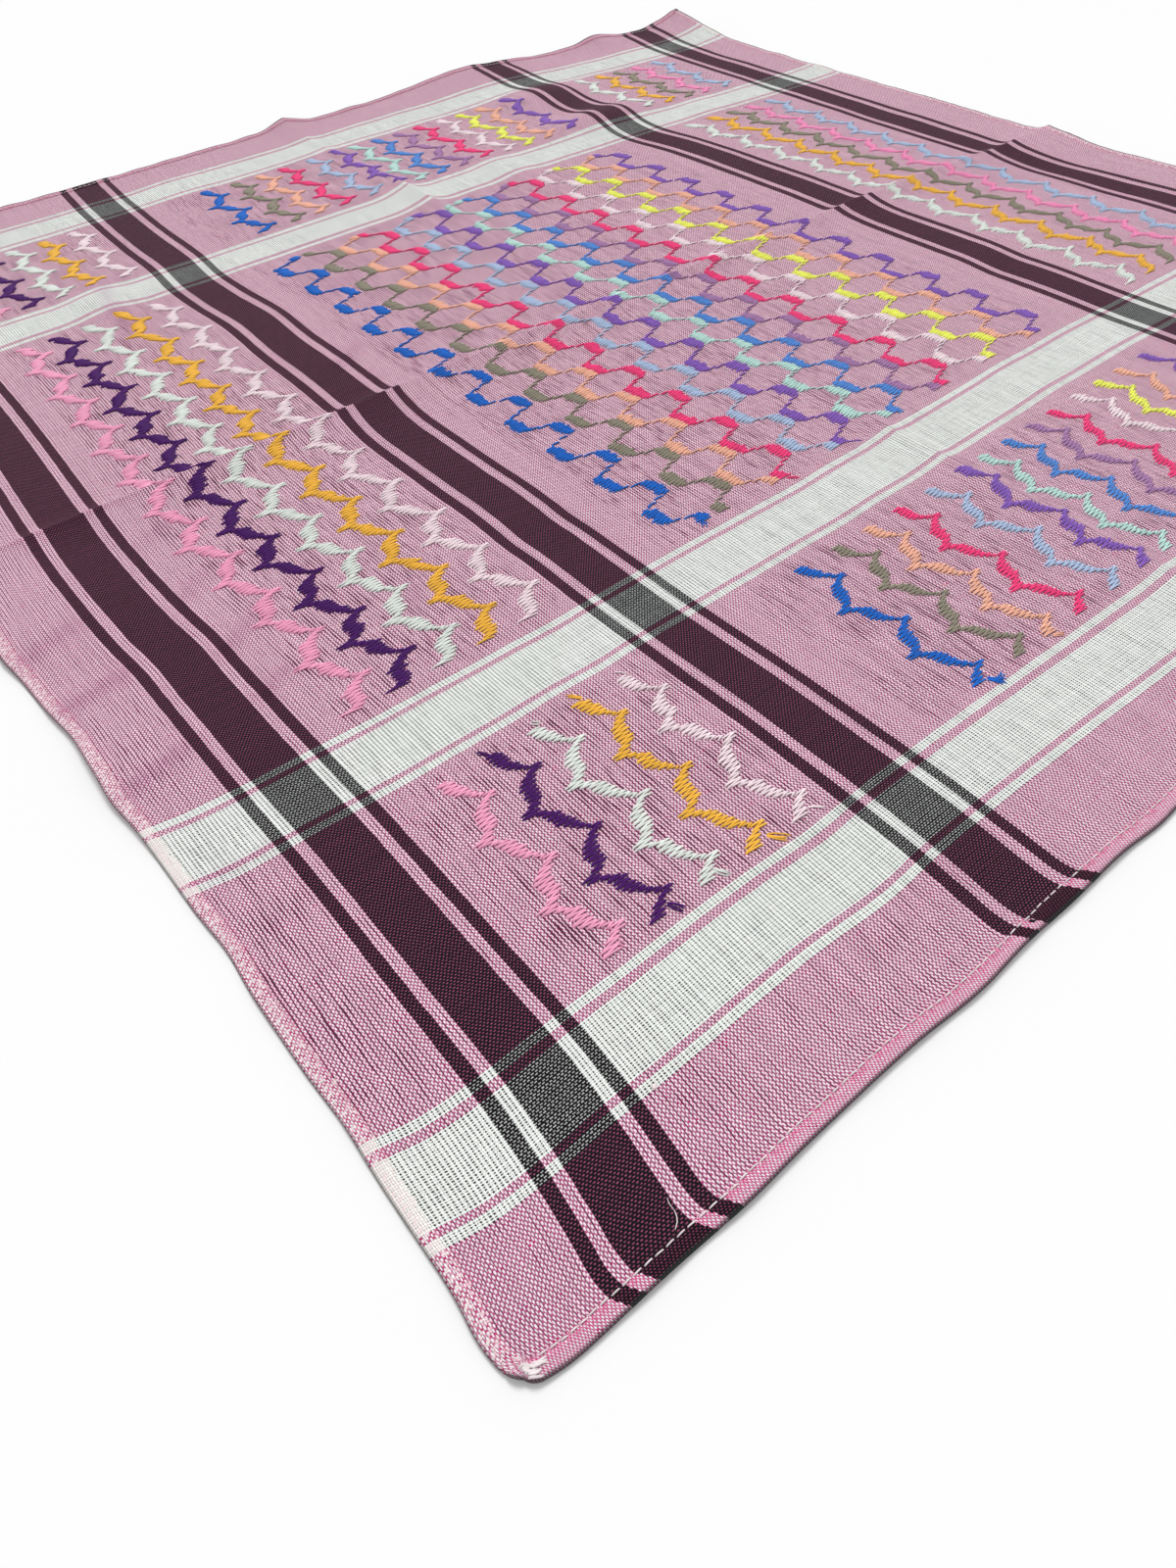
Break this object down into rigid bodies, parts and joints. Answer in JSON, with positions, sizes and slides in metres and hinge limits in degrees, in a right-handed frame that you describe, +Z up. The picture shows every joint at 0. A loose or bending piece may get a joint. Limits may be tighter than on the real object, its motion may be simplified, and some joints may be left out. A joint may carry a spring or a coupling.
{
  "type": "bandana",
  "caption": "Square woven cotton bandana laid flat, with striped borders and floated zigzag lines, dense side selvedges and narrow stitched hems; folded and tied round the neck or head.",
  "frame": {"origin": "middle of the cloth's footprint, on the surface it lies on", "axes": "+Z up, out of the surface; +Y along the warp and the dark stripes, from the near hem to the far hem; +X along the weft and the white stripes, from the left selvedge to the right"},
  "size_m": [0.5594, 0.5808, 0.0076],
  "materials": {
    "cloth": "matte",
    "selvedge": "matte",
    "hem": "matte",
    "yarn": "satin",
    "sewing_thread": "satin"
  },
  "bodies": {
    "root": {"cloth_panel": "cloth", "selvedge_left": "selvedge", "selvedge_right": "selvedge", "hem_near": "hem", "hem_far": "hem"}
  },
  "joints": []
}
